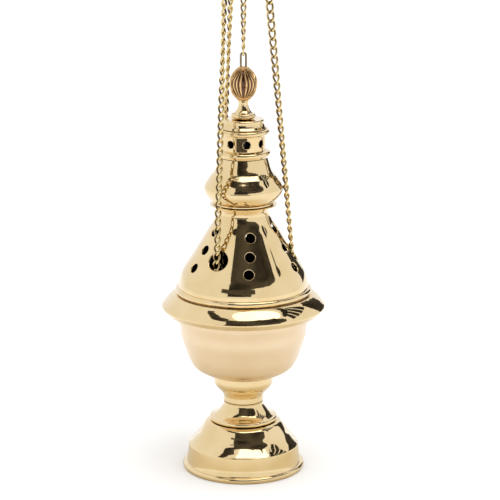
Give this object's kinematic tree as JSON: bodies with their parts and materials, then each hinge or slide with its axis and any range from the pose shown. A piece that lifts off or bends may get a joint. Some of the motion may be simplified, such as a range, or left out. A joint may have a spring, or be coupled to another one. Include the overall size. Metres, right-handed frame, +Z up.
{
  "type": "hanging incense burner",
  "caption": "Hanging incense burner of polished brass: domed foot, bowl with sloping collar, pierced lid that rises on its own chain, and carrying chains from a plate with bow and ring.",
  "frame": {"origin": "inside top of the hanging ring, where a hook or finger carries it", "axes": "+Z up along the burner's axis; -Y towards the viewer of the picture; +X to the viewer's right"},
  "size_m": [0.102, 0.102, 0.4108],
  "materials": {
    "polished_brass": "mirror polish",
    "bowl_brass": "mirror polish, pale",
    "chain_brass": "bright drawn wire",
    "fixing_steel": "plain zinc",
    "pan_steel": "dull, heat tinted"
  },
  "bodies": {
    "hanging_ring": {"hanging_ring": "polished_brass"},
    "jump_ring": {"jump_ring": "polished_brass"},
    "burner": {"foot_shell": "polished_brass", "stem_flare": "polished_brass", "stem_knob": "polished_brass", "bowl_collar": "polished_brass", "lug_1": "polished_brass", "lug_2": "polished_brass", "lug_3": "polished_brass", "handle_plate": "polished_brass", "chain_eye_1": "polished_brass", "chain_eye_2": "polished_brass", "chain_eye_3": "polished_brass", "bow": "polished_brass", "bow_nut_front": "polished_brass", "bow_locknut_front": "polished_brass", "bow_nut_back": "polished_brass", "bow_locknut_back": "polished_brass", "lug_rivet_1a": "polished_brass", "lug_rivet_1b": "polished_brass", "lug_rivet_2a": "polished_brass", "lug_rivet_2b": "polished_brass", "lug_rivet_3a": "polished_brass", "lug_rivet_3b": "polished_brass", "bowl": "bowl_brass", "foot_washer": "fixing_steel", "foot_screw": "fixing_steel", "bowl_nut": "fixing_steel"},
    "lid": {"lid_bell": "polished_brass", "lid_bulge": "polished_brass", "lid_lantern": "polished_brass", "lid_cap": "polished_brass", "lid_bridge": "fixing_steel", "lid_rod": "fixing_steel", "lid_rod_nut": "fixing_steel", "finial_stem": "polished_brass", "finial_bud": "polished_brass", "lid_link": "chain_brass", "lid_chain": "chain_brass"},
    "pull_ring": {"pull_ring": "polished_brass"},
    "coal_pan": {"coal_pan": "pan_steel"},
    "chain_lower_1": {"chain_lower_1": "chain_brass"},
    "chain_upper_1": {"chain_upper_1": "chain_brass"},
    "chain_lower_2": {"chain_lower_2": "chain_brass"},
    "chain_upper_2": {"chain_upper_2": "chain_brass"},
    "chain_lower_3": {"chain_lower_3": "chain_brass"},
    "chain_upper_3": {"chain_upper_3": "chain_brass"}
  },
  "joints": [
    {"name": "ring_swing", "type": "hinge", "parent": "hanging_ring", "child": "jump_ring", "pos_m": [0, 0, -0.0264], "axis": [0, 1, 0], "range_deg": [-60, 60]},
    {"name": "bow_swing", "type": "hinge", "parent": "jump_ring", "child": "burner", "pos_m": [0, 0, -0.0392], "axis": [1, 0, 0], "range_deg": [-60, 60]},
    {"name": "lid_lift", "type": "slide", "parent": "burner", "child": "lid", "axis": [0, 0, 1], "range_m": [0, 0.04]},
    {"name": "pull_ring_hinge", "type": "hinge", "parent": "lid", "child": "pull_ring", "pos_m": [0, 0, -0.0971], "axis": [0, 1, 0], "range_deg": [0, 90]},
    {"name": "pan_lift", "type": "slide", "parent": "burner", "child": "coal_pan", "axis": [0, 0, 1], "range_m": [0, 0.025]},
    {"name": "lug_hinge_1", "type": "hinge", "parent": "burner", "child": "chain_lower_1", "pos_m": [-0.01719, -0.02805, -0.3005], "axis": [0.8526, -0.5225, 0], "range_deg": [0, 2.5]},
    {"name": "knee_hinge_1", "type": "hinge", "parent": "chain_lower_1", "child": "chain_upper_1", "pos_m": [-0.01349, -0.01861, -0.1796], "axis": [0.8526, -0.5225, 0], "range_deg": [-6.3, 0]},
    {"name": "lug_hinge_2", "type": "hinge", "parent": "burner", "child": "chain_lower_2", "pos_m": [0.03289, -0.00086, -0.3005], "axis": [0.0262, 0.9997, 0], "range_deg": [0, 2.5]},
    {"name": "knee_hinge_2", "type": "hinge", "parent": "chain_lower_2", "child": "chain_upper_2", "pos_m": [0.02166, -0.00168, -0.1796], "axis": [0.0262, 0.9997, 0], "range_deg": [-6.3, 0]},
    {"name": "lug_hinge_3", "type": "hinge", "parent": "burner", "child": "chain_lower_3", "pos_m": [-0.0157, 0.02891, -0.3005], "axis": [-0.8788, -0.4772, 0], "range_deg": [0, 2.5]},
    {"name": "knee_hinge_3", "type": "hinge", "parent": "chain_lower_3", "child": "chain_upper_3", "pos_m": [-0.01058, 0.02029, -0.1796], "axis": [-0.8788, -0.4772, 0], "range_deg": [-6.3, 0]}
  ],
  "couplings": [
    {"joint": "lug_hinge_1", "follows": "lid_lift", "rad_per_m": 1.0339},
    {"joint": "knee_hinge_1", "follows": "lid_lift", "rad_per_m": -2.7006},
    {"joint": "lug_hinge_2", "follows": "lid_lift", "rad_per_m": 1.0339},
    {"joint": "knee_hinge_2", "follows": "lid_lift", "rad_per_m": -2.7006},
    {"joint": "lug_hinge_3", "follows": "lid_lift", "rad_per_m": 1.0339},
    {"joint": "knee_hinge_3", "follows": "lid_lift", "rad_per_m": -2.7006}
  ]
}
